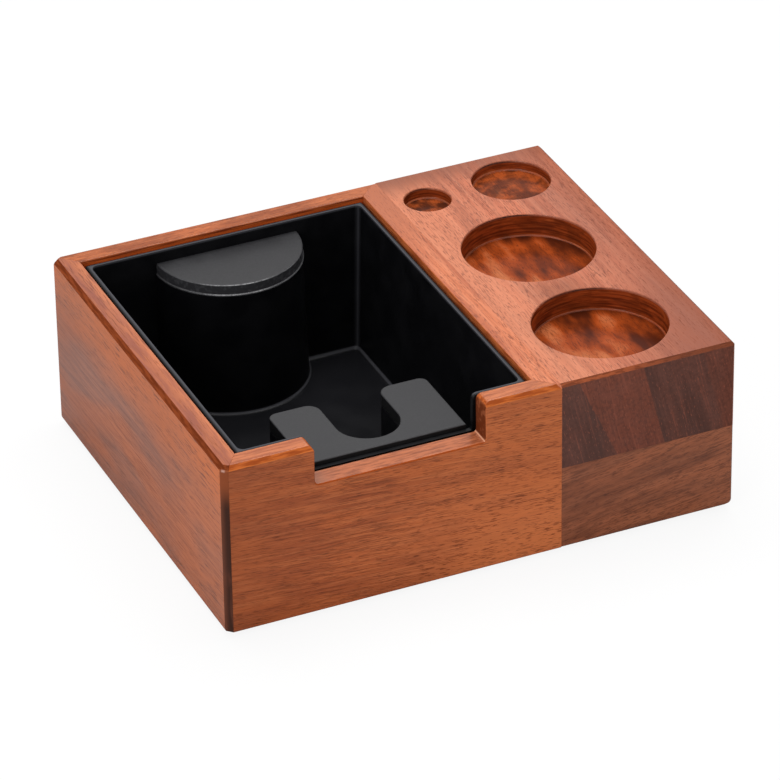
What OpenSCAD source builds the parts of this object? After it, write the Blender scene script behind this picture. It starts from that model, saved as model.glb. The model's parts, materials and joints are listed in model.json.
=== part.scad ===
// Coffee station organizer: a mitred wooden frame holds a lift-out knock bin, and a laminated
// tool block glued to its right side has four round recesses.
// Millimetres. +X right, +Y back, +Z up. The origin is on the table under the middle of the box.

/* [Box] */
// Width of the whole organizer
box_w = 240; // [237:1:300]
// Depth, front to back
box_d = 196; // [186:1:240]
// Height of the wood, without the feet
box_h = 83.5; // [76:0.5:110]
// Width of the frame around the bin
frame_w = 157; // [145:1:160]
// Thickness of the frame boards
wall_t = 10; // [8:0.5:14]
// Chamfer along the top of the frame
frame_chamfer = 2; // [0.5:0.5:4]
// Chamfer down the frame's upright corners
corner_chamfer = 3; // [0.5:0.5:5]
// Chamfer along the bottom edges
bottom_chamfer = 1; // [0.5:0.5:2]

/* [Base board] */
// Thickness of the base board
base_t = 6; // [3:0.5:9]
// Depth of the rebate that holds the base board
rebate = 5; // [3:0.5:7]
// Gap between the base board and the end of its rebate
base_gap = 0.3; // [0.1:0.1:0.6]

/* [Front notch] */
// Distance from the left side to the notch
notch_from_left = 42; // [36:1:50]
// Width of the notch
notch_w = 79; // [70:1:86]
// Depth of the notch below the top of the wood
notch_depth = 19; // [18:0.5:24]
// Radius of the notch's outer corners
notch_top_r = 3; // [1:0.5:5]
// Radius of the notch's inner corners
notch_bottom_r = 1.5; // [0.5:0.5:4]

/* [Tool block] */
// Height of the lower layer of the block
block_lower_h = 41.5; // [20:0.5:60]
// Chamfer along the block's top and upright edges
block_chamfer = 1.5; // [0.5:0.5:3]
// Diameter of the two tamper recesses
tamper_d = 60; // [54:0.5:64]
// Depth of the two tamper recesses
tamper_depth = 11.3; // [5:0.1:16]
// Distance from the right side to the middle of the tamper recesses
tamper_from_right = 45.4; // [42:0.1:48]
// Distance from the front to the middle of the front tamper recess
tamper_from_front = 40.1; // [36:0.1:50]
// Distance between the middles of the two tamper recesses
tamper_pitch = 72; // [66:0.5:78]
// Diameter of the medium recess
medium_d = 36; // [30:0.5:38]
// Depth of the medium recess
medium_depth = 5; // [3:0.5:16]
// Distance from the right side to the middle of the medium recess
medium_from_right = 26.3; // [24:0.1:28]
// Diameter of the small recess
small_d = 21.6; // [16:0.2:26]
// Depth of the small recess
small_depth = 5.5; // [3:0.5:16]
// Distance from the frame to the middle of the small recess
small_from_frame = 15.1; // [14:0.1:17]
// Distance from the back to the middles of the medium and the small recess
small_from_back = 25.2; // [22:0.1:27]

/* [Bin] */
// Gap between the bin and the frame, all round the rim
bin_gap = 1.2; // [0.8:0.1:2]
// Thickness of the bin's walls
bin_wall = 2.2; // [1.6:0.1:3]
// Thickness of the bin's floor
bin_floor = 2.7; // [2:0.1:4]
// Height of the bin's underside above the base board
bin_seat_gap = 0.3; // [0.2:0.1:0.6]
// Distance from the top of the wood down to the bin's rim
rim_drop = 1.7; // [0.5:0.1:4]
// How far each wall leans in from the rim to the floor
bin_draft = 3; // [1:0.5:5]
// Radius of the bin's upright corners, inside
bin_corner_r = 4; // [2:0.5:8]
// Radius where the bin's walls meet its floor
bin_fillet = 3; // [1:0.5:5]
// Chamfer along the outside of the bin's bottom
bin_edge = 1; // [0.4:0.2:1.6]
// Gap between the sides of the frame's notch and of the bin's notch
lip_show = 1.5; // [1:0.1:2]
// Distance from the floor of the frame's notch down to the floor of the bin's notch
lip_drop = 0.5; // [0.2:0.1:1.5]
// Radius of the outer corners of the bin's notch
lip_r = 4; // [1:0.5:6]

/* [Knock post] */
// Radius of the half-round post under its cap
post_top_r = 34; // [28:0.5:36]
// Radius of the post at its foot
post_foot_r = 37.5; // [34:0.5:39]
// Width of the fillet round the foot of the post
post_fillet = 1.5; // [0.5:0.5:3]
// Distance from the top of the wood down to the top of the post's cap
post_cap_drop = 7.5; // [4:0.5:14]

/* [Portafilter rest] */
// Gap between each side of the rest and the side of the bin's notch
rest_side_gap = 0.8; // [0.3:0.1:3]
// Reach of the rest from the bin's front wall
rest_reach = 43.2; // [36:0.2:50]
// Width of the slot between the two arms
slot_w = 28.6; // [22:0.2:34]
// Thickness of the rest between the slot and the bin's front wall
web_t = 6.6; // [6:0.2:12]
// Radius of the outer corners of the arms
arm_outer_r = 4; // [2:0.5:6]
// Radius of the inner corners of the arms
arm_inner_r = 6; // [2:0.5:7]
// Distance from the top of the wood down to the top of the rest's cap
rest_cap_drop = 17.3; // [14:0.1:20]

/* [Rubber caps] */
// Height of both caps
cap_h = 6; // [4:0.5:9]
// Thickness of the top of the caps
cap_top = 3; // [1.5:0.5:3.5]
// Thickness of the skirts of the caps
cap_skirt = 2; // [1:0.2:3]
// Height of the lip along the bottom of the post's cap
cap_lip_h = 1.2; // [0.6:0.2:2]
// How far the lip stands out
cap_lip = 0.5; // [0.2:0.1:1]
// Clearance between each cap and what it grips
cap_gap = 0.3; // [0.2:0.05:0.5]
// Thickness of the hollow post and of the hollow rest
post_wall = 2.4; // [1.6:0.2:3]

/* [Feet] */
// Diameter of the rubber feet
foot_d = 16; // [10:1:20]
// Thickness of the rubber feet
foot_t = 2; // [1:0.5:4]
// Distance from the sides of the box to the middle of each foot
foot_inset = 14; // [12:1:20]
// Chamfer round the bottom of each foot
foot_chamfer = 0.5; // [0.2:0.1:0.8]

/* [Hidden] */

// Cutters reach this far past a face that they cut
eps = 1;
// Pieces of one moulding overlap by this much where they join
fuse = 0.6;

left_x = -box_w / 2;
right_x = box_w / 2;
front_y = -box_d / 2;
back_y = box_d / 2;
seam_x = left_x + frame_w;
wood_z = foot_t;
top_z = wood_z + box_h;
base_top_z = wood_z + base_t;

// Bin: the outside of its rim, its heights and its inner faces
rim_z = top_z - rim_drop;
bin_x0 = left_x + wall_t + bin_gap;
bin_x1 = seam_x - wall_t - bin_gap;
bin_y0 = front_y + wall_t + bin_gap;
bin_y1 = back_y - wall_t - bin_gap;
bin_z0 = base_top_z + bin_seat_gap;
floor_z = bin_z0 + bin_floor;
lean = bin_draft / (rim_z - floor_z);
function inset_at(z) = (rim_z - z) * lean;
function front_face(z) = bin_y0 + bin_wall + inset_at(z);
function back_face(z) = bin_y1 - bin_wall - inset_at(z);

notch_x0 = left_x + notch_from_left;
notch_z = top_z - notch_depth;

// Knock post: its front is plumb, and its sides spread towards the foot
post_x = (bin_x0 + bin_x1) / 2;
post_cap_z = top_z - post_cap_drop;
post_top_y = back_face(post_cap_z);
post_front_y = post_top_y - post_top_r;
post_shoulder_z = post_cap_z - cap_h - cap_gap;
post_neck_r = post_top_r - cap_skirt - cap_gap;

// Portafilter rest, in the middle of the notch
rest_x = notch_x0 + notch_w / 2;
rest_w = notch_w - 2 * (lip_show + rest_side_gap);
arm_w = (rest_w - slot_w) / 2;
rest_cap_z = top_z - rest_cap_drop;
rest_shoulder_z = rest_cap_z - cap_h - cap_gap;
rest_front_y = front_face(rest_shoulder_z) + cap_gap;
rest_back_y = rest_front_y + rest_reach;

// Middles of the recesses
tamper_x = right_x - tamper_from_right;
tamper_y = front_y + tamper_from_front;
medium_x = right_x - medium_from_right;
small_x = seam_x + small_from_frame;
small_y = back_y - small_from_back;

// A square bar along X that cuts a chamfer of width c from an edge through the origin
module chamfer_bar(len, c) {
    rotate([45, 0, 0])
        cube([len + 2 * eps, c * sqrt(2), c * sqrt(2)], center = true);
}

// A board along X with its outer face on Y = 0, mitred at both ends and rebated for the base
module mitred_board(len) {
    difference() {
        linear_extrude(box_h)
            polygon([[0, 0], [len, 0], [len - wall_t, wall_t], [wall_t, wall_t]]);
        translate([-eps, wall_t - rebate, -eps])
            cube([len + 2 * eps, rebate + eps, base_t + eps]);
    }
}

// The chamfers along the outer face of such a board, and down its ends at the positions given
module board_chamfers(len, ends) {
    translate([len / 2, 0, box_h])
        chamfer_bar(len, frame_chamfer);
    translate([len / 2, 0, 0])
        chamfer_bar(len, bottom_chamfer);
    for (x = ends)
        translate([x, 0, box_h / 2])
            rotate([0, 90, 0])
                chamfer_bar(box_h, corner_chamfer);
}

// Outline of a notch of width w and depth d, seen from the front, with its floor on Y = 0
module notch_outline(w, d, top_r, bottom_r) {
    difference() {
        square([w, d + eps]);
        for (side = [0, 1])
            translate([side * w, 0])
                mirror([side, 0])
                    difference() {
                        translate([-eps, -eps])
                            square(bottom_r + eps);
                        translate([bottom_r, bottom_r])
                            circle(bottom_r, $fn = 48);
                    }
    }
    for (side = [0, 1])
        translate([side * w, d - top_r])
            mirror([side, 0])
                difference() {
                    translate([-top_r, 0])
                        square([top_r + fuse, top_r + eps]);
                    translate([-top_r, 0])
                        circle(top_r, $fn = 48);
                }
}

module front_board() {
    color("#a8552c")
        difference() {
            translate([left_x, front_y, wood_z])
                difference() {
                    mitred_board(frame_w);
                    board_chamfers(frame_w, [0]);
                }
            translate([notch_x0, front_y + wall_t + eps, notch_z])
                rotate([90, 0, 0])
                    linear_extrude(wall_t + 2 * eps)
                        notch_outline(notch_w, notch_depth, notch_top_r, notch_bottom_r);
        }
}

module back_board() {
    color("#9a4a2b")
        translate([seam_x, back_y, wood_z])
            rotate([0, 0, 180])
                difference() {
                    mitred_board(frame_w);
                    board_chamfers(frame_w, [frame_w]);
                }
}

module left_board() {
    color("#a4533a")
        translate([left_x, back_y, wood_z])
            rotate([0, 0, -90])
                difference() {
                    mitred_board(box_d);
                    board_chamfers(box_d, [0, box_d]);
                }
}

// The frame's right-hand board, square-edged where the tool block is glued to it
module inner_board() {
    color("#96482b")
        translate([seam_x, front_y, wood_z])
            rotate([0, 0, 90])
                mitred_board(box_d);
}

module base_board() {
    color("#8a5a3c")
        translate([left_x + wall_t - rebate + base_gap, front_y + wall_t - rebate + base_gap, wood_z])
            cube([
                frame_w - 2 * (wall_t - rebate + base_gap),
                box_d - 2 * (wall_t - rebate + base_gap),
                base_t
            ]);
}

// The tool block as one piece from height z0 to z1 above the wood's underside
module block_layer(z0, z1, top_chamfer) {
    w = right_x - seam_x;
    difference() {
        translate([seam_x, front_y, wood_z + z0])
            cube([w, box_d, z1 - z0]);
        for (y = [front_y, back_y]) {
            translate([seam_x + w / 2, y, wood_z])
                chamfer_bar(w, bottom_chamfer);
            if (top_chamfer > 0)
                translate([seam_x + w / 2, y, wood_z + z1])
                    chamfer_bar(w, top_chamfer);
            translate([right_x, y, wood_z + box_h / 2])
                rotate([0, 90, 0])
                    chamfer_bar(box_h, block_chamfer);
        }
        translate([right_x, 0, wood_z])
            rotate([0, 0, 90])
                chamfer_bar(box_d, bottom_chamfer);
        if (top_chamfer > 0)
            translate([right_x, 0, wood_z + z1])
                rotate([0, 0, 90])
                    chamfer_bar(box_d, top_chamfer);
    }
}

// A round recess sunk from the top of the block
module recess(x, y, d, depth) {
    translate([x, y, top_z - depth])
        cylinder(h = depth + eps, d = d, $fn = 96);
}

module tool_block_upper() {
    color("#7a3b22")
        difference() {
            block_layer(block_lower_h, box_h, block_chamfer);
            recess(tamper_x, tamper_y, tamper_d, tamper_depth);
            recess(tamper_x, tamper_y + tamper_pitch, tamper_d, tamper_depth);
            recess(medium_x, small_y, medium_d, medium_depth);
            recess(small_x, small_y, small_d, small_depth);
        }
}

module tool_block_lower() {
    color("#87462a")
        block_layer(0, block_lower_h, 0);
}

// A thin slab of the bin's plan at height z, drawn in by inset all round, with corner radius r
module bin_slab(z, inset, r) {
    x0 = bin_x0 + inset + r;
    x1 = bin_x1 - inset - r;
    y0 = bin_y0 + inset + r;
    y1 = bin_y1 - inset - r;
    for (x = [x0, x1])
        for (y = [y0, y1])
            translate([x, y, z])
                cylinder(h = 0.01, r = r, $fn = 32);
}

module bin_outside() {
    hull() {
        bin_slab(bin_z0, inset_at(bin_z0) + bin_edge, bin_corner_r + bin_wall - bin_edge);
        bin_slab(bin_z0 + bin_edge, inset_at(bin_z0 + bin_edge), bin_corner_r + bin_wall);
        bin_slab(rim_z - 0.01, 0, bin_corner_r + bin_wall);
    }
}

// The hollow of the bin, rounded where its walls meet its floor
module bin_inside() {
    hull() {
        for (a = [0, 30, 60, 90])
            let (out = bin_fillet * (1 - sin(a)), z = floor_z + bin_fillet * (1 - cos(a)))
                bin_slab(z, bin_wall + inset_at(z) + out, bin_corner_r);
        bin_slab(rim_z + eps, bin_wall + inset_at(rim_z + eps), bin_corner_r);
    }
}

// The post as a full leaning cone, drawn in by shrink all round, from the bin's floor upwards
module post_cone(shrink) {
    hull() {
        translate([post_x, post_front_y + post_foot_r, floor_z])
            cylinder(h = 0.01, r = post_foot_r - shrink, $fn = 96);
        translate([post_x, post_front_y + post_top_r, post_shoulder_z - 0.01 - shrink])
            cylinder(h = 0.01, r = post_top_r - shrink, $fn = 96);
    }
}

// Everything in front of a plane that leans with the bin's back wall, off by gap
module before_back_wall(gap) {
    y_low = back_face(bin_z0 - eps) - gap;
    y_high = back_face(rim_z) - gap;
    rotate([90, 0, 90])
        translate([0, 0, bin_x0])
            linear_extrude(bin_x1 - bin_x0)
                polygon([[0, bin_z0 - eps], [y_low, bin_z0 - eps], [y_high, rim_z], [0, rim_z]]);
}

module post_neck(shrink) {
    translate([post_x, post_top_y, floor_z])
        cylinder(h = post_cap_z - cap_top - cap_gap - shrink - floor_z, r = post_neck_r - shrink, $fn = 96);
}

module knock_post() {
    intersection() {
        union() {
            post_cone(0);
            post_neck(0);
            translate([post_x, post_front_y + post_foot_r, floor_z - fuse])
                cylinder(h = fuse + post_fillet, r1 = post_foot_r + post_fillet, r2 = post_foot_r, $fn = 96);
        }
        before_back_wall(-fuse);
    }
}

// The space under the post, open below through the bin's floor
module post_hollow() {
    intersection() {
        union() {
            post_cone(post_wall);
            post_neck(post_wall);
            translate([post_x, post_front_y + post_foot_r, bin_z0 - eps])
                cylinder(h = bin_floor + 2 * eps, r = post_foot_r - post_wall, $fn = 96);
        }
        before_back_wall(0);
    }
}

// The rest's U-shaped outline, drawn in by shrink all round
module rest_outline(shrink) {
    w = rest_w - 2 * shrink;
    reach = rest_reach - 2 * shrink;
    gap_w = slot_w + 2 * shrink;
    outer_r = max(arm_outer_r - shrink, 0.5);
    inner_r = max(arm_inner_r - shrink, 0.5);
    translate([rest_x, rest_front_y + shrink])
        difference() {
            translate([-w / 2, 0])
                square([w, reach]);
            translate([0, web_t + slot_w / 2 - shrink])
                circle(d = gap_w, $fn = 96);
            translate([-gap_w / 2, web_t + slot_w / 2 - shrink])
                square([gap_w, reach]);
            for (side = [0, 1])
                mirror([side, 0]) {
                    corner_cut(w / 2, reach, outer_r);
                    mirror([1, 0])
                        corner_cut(-gap_w / 2, reach, inner_r);
                }
        }
}

// Rounds the corner at (x, y) whose solid lies to its left and below
module corner_cut(x, y, r) {
    translate([x - r, y - r])
        difference() {
            square(r + eps);
            circle(r, $fn = 48);
        }
}

module portafilter_rest() {
    translate([0, 0, floor_z - fuse])
        linear_extrude(rest_shoulder_z - floor_z + fuse)
            rest_outline(0);
    translate([0, 0, floor_z])
        linear_extrude(rest_cap_z - cap_top - cap_gap - floor_z)
            rest_outline(cap_skirt + cap_gap);
    // The web that joins the rest to the bin's front wall
    translate([rest_x - rest_w / 2, bin_y0 + bin_wall / 2, floor_z - fuse])
        cube([rest_w, rest_front_y + fuse - bin_y0 - bin_wall / 2, rest_shoulder_z - floor_z + fuse]);
}

// A pocket up one arm of the rest, drawn in by shrink all round, from below the bin to z1
module arm_pocket(shrink, z1) {
    y0 = front_face(bin_z0) + shrink;
    translate([rest_x + slot_w / 2 + shrink, y0, bin_z0 - eps])
        cube([arm_w - 2 * shrink, rest_back_y - shrink - y0, z1 - bin_z0 + eps]);
}

// The two pockets up the rest's arms, open below through the bin's floor
module rest_hollow() {
    for (side = [0, 1])
        translate([rest_x, 0, 0])
            mirror([side, 0, 0])
                translate([-rest_x, 0, 0]) {
                    arm_pocket(post_wall, rest_shoulder_z - post_wall);
                    arm_pocket(
                        post_wall + cap_skirt + cap_gap,
                        rest_cap_z - cap_top - cap_gap - post_wall
                    );
                }
}

module bin_notch() {
    translate([notch_x0 + lip_show, bin_y0 + bin_wall + bin_draft, notch_z - lip_drop])
        rotate([90, 0, 0])
            linear_extrude(bin_wall + bin_draft + eps)
                notch_outline(
                    notch_w - 2 * lip_show, rim_z - notch_z + lip_drop, lip_r, notch_bottom_r
                );
}

module bin_liner() {
    color("#1c1c1f")
        difference() {
            union() {
                difference() {
                    bin_outside();
                    bin_inside();
                    bin_notch();
                }
                intersection() {
                    union() {
                        knock_post();
                        portafilter_rest();
                    }
                    bin_outside();
                }
            }
            post_hollow();
            rest_hollow();
        }
}

// The rubber cap pushed over the top of the post
module knock_post_cap() {
    color("#4a4a4c")
        difference() {
            intersection() {
                union() {
                    translate([post_x, post_top_y, post_cap_z - cap_h])
                        cylinder(h = cap_h, r = post_top_r, $fn = 96);
                    translate([post_x, post_top_y, post_cap_z - cap_h])
                        cylinder(h = cap_lip_h, r = post_top_r + cap_lip, $fn = 96);
                }
                before_back_wall(cap_gap);
            }
            translate([post_x, post_top_y, post_cap_z - cap_h - eps])
                cylinder(h = cap_h - cap_top + eps, r = post_neck_r + cap_gap, $fn = 96);
        }
}

// The rubber cap pushed over the top of the rest
module portafilter_rest_cap() {
    color("#4d4d50")
        translate([0, 0, rest_cap_z - cap_h])
            difference() {
                linear_extrude(cap_h)
                    rest_outline(0);
                translate([0, 0, -eps])
                    linear_extrude(cap_h - cap_top + eps)
                        rest_outline(cap_skirt);
            }
}

// A stuck-on rubber foot at the corner named by the signs sx and sy
module foot(sx, sy) {
    color("#2a2a2a")
        translate([sx * (box_w / 2 - foot_inset), sy * (box_d / 2 - foot_inset), 0]) {
            cylinder(h = foot_chamfer, d1 = foot_d - 2 * foot_chamfer, d2 = foot_d, $fn = 48);
            translate([0, 0, foot_chamfer])
                cylinder(h = foot_t - foot_chamfer, d = foot_d, $fn = 48);
        }
}

module foot_front_left() {
    foot(-1, -1);
}

module foot_front_right() {
    foot(1, -1);
}

module foot_back_left() {
    foot(-1, 1);
}

module foot_back_right() {
    foot(1, 1);
}

front_board();
left_board();
back_board();
inner_board();
base_board();
tool_block_upper();
tool_block_lower();
bin_liner();
knock_post_cap();
portafilter_rest_cap();
foot_front_left();
foot_front_right();
foot_back_left();
foot_back_right();
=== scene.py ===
import json
import math
import bmesh
import bpy
from mathutils import Matrix, Vector


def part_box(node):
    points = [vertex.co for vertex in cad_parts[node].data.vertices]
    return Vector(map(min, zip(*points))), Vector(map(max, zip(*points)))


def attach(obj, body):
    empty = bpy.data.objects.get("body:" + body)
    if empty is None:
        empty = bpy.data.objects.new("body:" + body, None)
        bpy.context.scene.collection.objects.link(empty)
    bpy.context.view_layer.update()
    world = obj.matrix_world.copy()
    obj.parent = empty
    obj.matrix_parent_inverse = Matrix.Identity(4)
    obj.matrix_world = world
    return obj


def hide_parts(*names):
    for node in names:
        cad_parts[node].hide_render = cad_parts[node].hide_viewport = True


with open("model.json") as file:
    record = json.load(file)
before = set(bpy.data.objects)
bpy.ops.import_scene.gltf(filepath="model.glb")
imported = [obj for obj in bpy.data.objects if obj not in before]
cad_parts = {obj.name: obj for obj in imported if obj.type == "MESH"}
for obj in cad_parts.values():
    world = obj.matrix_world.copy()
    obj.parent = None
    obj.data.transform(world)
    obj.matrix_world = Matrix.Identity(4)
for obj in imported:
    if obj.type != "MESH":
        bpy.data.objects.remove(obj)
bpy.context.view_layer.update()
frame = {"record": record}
MM = 0.001


# Places and sizes that the model gives

left_low, left_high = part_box("left_board")
block_low, block_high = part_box("tool_block_upper")
stand_low, stand_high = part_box("tool_block_lower")
base_low, base_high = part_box("base_board")
bin_low, bin_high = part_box("bin_liner")
post_cap_low, post_cap_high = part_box("knock_post_cap")
rest_cap_low, rest_cap_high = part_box("portafilter_rest_cap")

LEFT = left_low.x
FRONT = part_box("front_board")[0].y
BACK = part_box("back_board")[1].y
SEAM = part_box("inner_board")[1].x
RIGHT = block_high.x
WOOD = left_low.z
TOP = left_high.z
WALL = left_high.x - left_low.x

# Edges of the wood. The soft widths take the sharpness off the remaining edges.
FRAME_CHAMFER = 2.0 * MM
CORNER_CHAMFER = 2.8 * MM
CORNER_BROW = 0.9 * MM
BLOCK_CHAMFER = 1.5 * MM
BOTTOM_ROUND = 2.4 * MM
BLOCK_BOTTOM_ROUND = 3.0 * MM
INNER_ARRIS = 0.7 * MM
SOFT_FRAME = 0.28 * MM
SOFT_FRONT = 0.32 * MM
SOFT_UPPER = 0.18 * MM
SOFT_LOWER = 0.15 * MM

# Base board
BASE_GAP = 0.3 * MM
BASE_ROUND = 0.8 * MM
BASE_CORNER_R = 1.5 * MM
SOFT_BASE = 0.2 * MM

# Notch in the front board
NOTCH_LEFT = LEFT + 42.0 * MM
NOTCH_RIGHT = NOTCH_LEFT + 79.0 * MM
NOTCH_FLOOR = TOP - 19.0 * MM
NOTCH_TOP_R = 3.0 * MM
NOTCH_FLOOR_R = 1.6 * MM
NOTCH_ARRIS = 0.5 * MM

# Recesses for tools: centre, radius and floor
RECESSES = [
    (*mount["pos_m"][:2], mount["dims"]["r_mm"] * MM, TOP - mount["dims"]["length_mm"] * MM)
    for mount in frame["record"]["mounts"] if mount["kind"] == "bore"
]
LARGE_RECESS_R = 30.0 * MM
RECESS_FILLET = 1.1 * MM
RECESS_RIM = 0.7 * MM

# Bin
BIN_WALL = 2.2 * MM
BIN_FLOOR = 2.7 * MM
BIN_DRAFT = 3.0 * MM
BIN_CORNER_R = 3.0 * MM
RIM_CORNER_R = 1.4 * MM
RIM_DEPTH = 2.4 * MM
RIM_EDGE_R = 1.1 * MM
RIM_STEP = 0.06 * MM
BIN_FILLET = 2.4 * MM
RIM = bin_high.z
FLOOR = bin_low.z + BIN_FLOOR
LIP_SHOW = 0.8 * MM
LIP_DROP = 0.5 * MM
LIP_R = 2.5 * MM
LIP_FLOOR_R = 1.0 * MM
SOFT_BIN = 0.35 * MM

# How far cutters reach past a face, and how far the post and the rest go into a wall or the floor
REACH = 4.0 * MM
ROOT = 0.6 * MM
MOULD_FOOT = FLOOR - 1.0 * MM

# Rubber caps
CAP_SKIRT = 2.0 * MM
CAP_GAP = 0.3 * MM
CAP_TOP = 3.0 * MM
CAP_CLEAR = 0.1 * MM
CAP_LIP = 0.5 * MM
CAP_LIP_HEIGHT = 1.2 * MM
CAP_LIP_EDGE = 0.3 * MM
POST_CAP_EDGE = 0.8 * MM
REST_CAP_EDGE = 0.7 * MM
SOFT_CAP = 0.2 * MM

# Knock post
POST_X = (post_cap_low.x + post_cap_high.x) / 2
POST_TOP_R = 34.0 * MM
POST_FOOT_R = 36.6 * MM
POST_FILLET = 2.0 * MM
POST_SHOULDER = post_cap_low.z - CAP_GAP
POST_NECK_TOP = post_cap_high.z - CAP_TOP - CAP_GAP
HOLLOW = 2.4 * MM

# Portafilter rest
REST_X = (rest_cap_low.x + rest_cap_high.x) / 2
SLOT_R = 14.3 * MM
WEB = 6.6 * MM
ARM_OUTER_R = 4.0 * MM
ARM_INNER_R = 6.0 * MM
REST_SHOULDER = rest_cap_low.z - CAP_GAP
REST_NECK_TOP = rest_cap_high.z - CAP_TOP - CAP_GAP
SLOT_END = rest_cap_low.y + WEB
POCKET_CORNER_R = 1.5 * MM

# Feet, with a flat band round a shallow dish
FOOT_NODES = ["foot_front_left", "foot_front_right", "foot_back_left", "foot_back_right"]
FOOT_EDGE = 0.5 * MM
FOOT_BAND = 1.6 * MM
FOOT_SLOPE = 0.6 * MM
FOOT_DISH = 0.4 * MM


def lean_at(z):
    """How far the bin's walls lean in at height z."""
    return BIN_DRAFT * (RIM - z) / (RIM - FLOOR)


def back_face(z):
    """The inner face of the bin's back wall at height z."""
    return bin_high.y - BIN_WALL - lean_at(z)


def front_face(z):
    """The inner face of the bin's front wall at height z."""
    return bin_low.y + BIN_WALL + lean_at(z)


POST_FRONT = back_face(post_cap_high.z) - POST_TOP_R


# Camera at the photograph's viewing angle

CAMERA_PLACE = Vector((-0.8312332, -1.8881595, 1.3004718))
CAMERA_YAW = 0.41472961
CAMERA_PITCH = -0.54893780
CAMERA_ROLL = -0.01573113
CAMERA_SENSOR = 36.0
PHOTO_WIDTH = 780
FOCAL_PIXELS = 5477.2434
CAMERA_LENS = FOCAL_PIXELS * CAMERA_SENSOR / PHOTO_WIDTH


def set_up_camera():
    data = bpy.data.cameras.new("Camera")
    data.lens = CAMERA_LENS
    data.sensor_width = CAMERA_SENSOR
    data.clip_end = 50
    camera = bpy.data.objects.new("Camera", data)
    bpy.context.scene.collection.objects.link(camera)
    turn = Matrix.Rotation(-CAMERA_YAW, 4, "Z")
    tilt = Matrix.Rotation(math.pi / 2 + CAMERA_PITCH, 4, "X")
    roll = Matrix.Rotation(CAMERA_ROLL, 4, "Z")
    camera.matrix_world = Matrix.Translation(CAMERA_PLACE) @ turn @ tilt @ roll
    bpy.context.scene.camera = camera


set_up_camera()


# Workshop: selecting, shaping and finishing a piece

def only(piece):
    bpy.ops.object.select_all(action="DESELECT")
    piece.select_set(True)
    bpy.context.view_layer.objects.active = piece


def named(name):
    piece = bpy.context.object
    piece.name = name
    piece.data.name = name
    bpy.ops.object.transform_apply(location=True, rotation=True, scale=True)
    return piece


def block(name, low, high):
    """A block between two corners, the start of a piece."""
    low, high = Vector(low), Vector(high)
    bpy.ops.object.select_all(action="DESELECT")
    bpy.ops.mesh.primitive_cube_add(size=1, location=(low + high) / 2, scale=high - low)
    return named(name)


def disc(name, x, y, z, radius, sides=96):
    """A round disc, the start of a turned piece."""
    bpy.ops.object.select_all(action="DESELECT")
    bpy.ops.mesh.primitive_circle_add(
        vertices=sides, radius=radius, fill_type="NGON", location=(x, y, z)
    )
    return named(name)


def open_up(piece):
    only(piece)
    bpy.ops.object.mode_set(mode="EDIT")


def close_up():
    bpy.ops.object.mode_set(mode="OBJECT")


def pick(piece, kind, test):
    """Selects the edges or faces that pass the test, and nothing else."""
    bpy.ops.mesh.select_mode(type=kind)
    bpy.ops.mesh.select_all(action="DESELECT")
    shape = bmesh.from_edit_mesh(piece.data)
    shape.normal_update()
    for part in shape.edges if kind == "EDGE" else shape.faces:
        if test(part):
            part.select_set(True)
    shape.select_flush_mode()
    bmesh.update_edit_mesh(piece.data)


def near(a, b, slack=0.02 * MM):
    return abs(a - b) < slack


def ends(edge):
    return [v.co for v in edge.verts]


def all_at(edge, axis, place, slack=0.02 * MM):
    """True if both ends of the edge lie at that place on the axis."""
    return all(near(co[axis], place, slack) for co in ends(edge))


def runs(edge, axis):
    """True if the edge runs along the axis."""
    a, b = ends(edge)
    d = b - a
    return abs(d[axis]) > 0.98 * d.length


def round_edges(piece, test, width, steps=1):
    """Cuts a chamfer, or a round with more steps, along the edges that pass the test."""
    pick(piece, "EDGE", test)
    bpy.ops.mesh.bevel(
        offset=width, segments=steps, profile=0.5, affect="EDGES", clamp_overlap=False
    )


def raise_top(step, scale, about):
    """Extrudes the picked face upwards by step and scales it about a point."""
    bpy.ops.mesh.extrude_region_move(TRANSFORM_OT_translate={"value": (0, 0, step)})
    bpy.ops.transform.resize(value=(scale[0], scale[1], 1), center_override=about)


def start_turning(name, x, y, profile, sides=96):
    """A disc raised through rings of radius and height, and still open."""
    piece = disc(name, x, y, profile[0][1], profile[0][0], sides)
    open_up(piece)
    pick(piece, "FACE", lambda face: True)
    for (radius, z), (next_radius, next_z) in zip(profile, profile[1:]):
        scale = next_radius / radius
        raise_top(next_z - z, (scale, scale), (x, y, next_z))
    return piece


def stop_turning():
    bpy.ops.mesh.select_all(action="SELECT")
    bpy.ops.mesh.normals_make_consistent(inside=False)
    close_up()


def turned(name, x, y, profile, sides=96):
    """A solid of rings, from the bottom up."""
    piece = start_turning(name, x, y, profile, sides)
    stop_turning()
    return piece


def arc(x, z, radius, start, stop, steps):
    """Points of an arc in degrees, for a profile of radius and height."""
    points = []
    for step in range(steps + 1):
        angle = math.radians(start + (stop - start) * step / steps)
        points.append((x + radius * math.cos(angle), z + radius * math.sin(angle)))
    return points


def apply_modifier(piece, kind, settings):
    only(piece)
    modifier = piece.modifiers.new(kind.title(), kind)
    for key, value in settings.items():
        setattr(modifier, key, value)
    bpy.ops.object.modifier_apply(modifier=modifier.name)


def carve(piece, cutter, operation="DIFFERENCE"):
    """Cuts the cutter out of the piece, or joins it on, and throws the cutter away."""
    settings = {"operation": operation, "solver": "EXACT", "object": cutter}
    apply_modifier(piece, "BOOLEAN", settings)
    bpy.data.objects.remove(cutter)
    open_up(piece)
    bpy.ops.mesh.select_all(action="SELECT")
    bpy.ops.mesh.remove_doubles(threshold=0.002 * MM)
    bpy.ops.mesh.dissolve_limited(angle_limit=math.radians(0.2))
    close_up()


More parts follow.
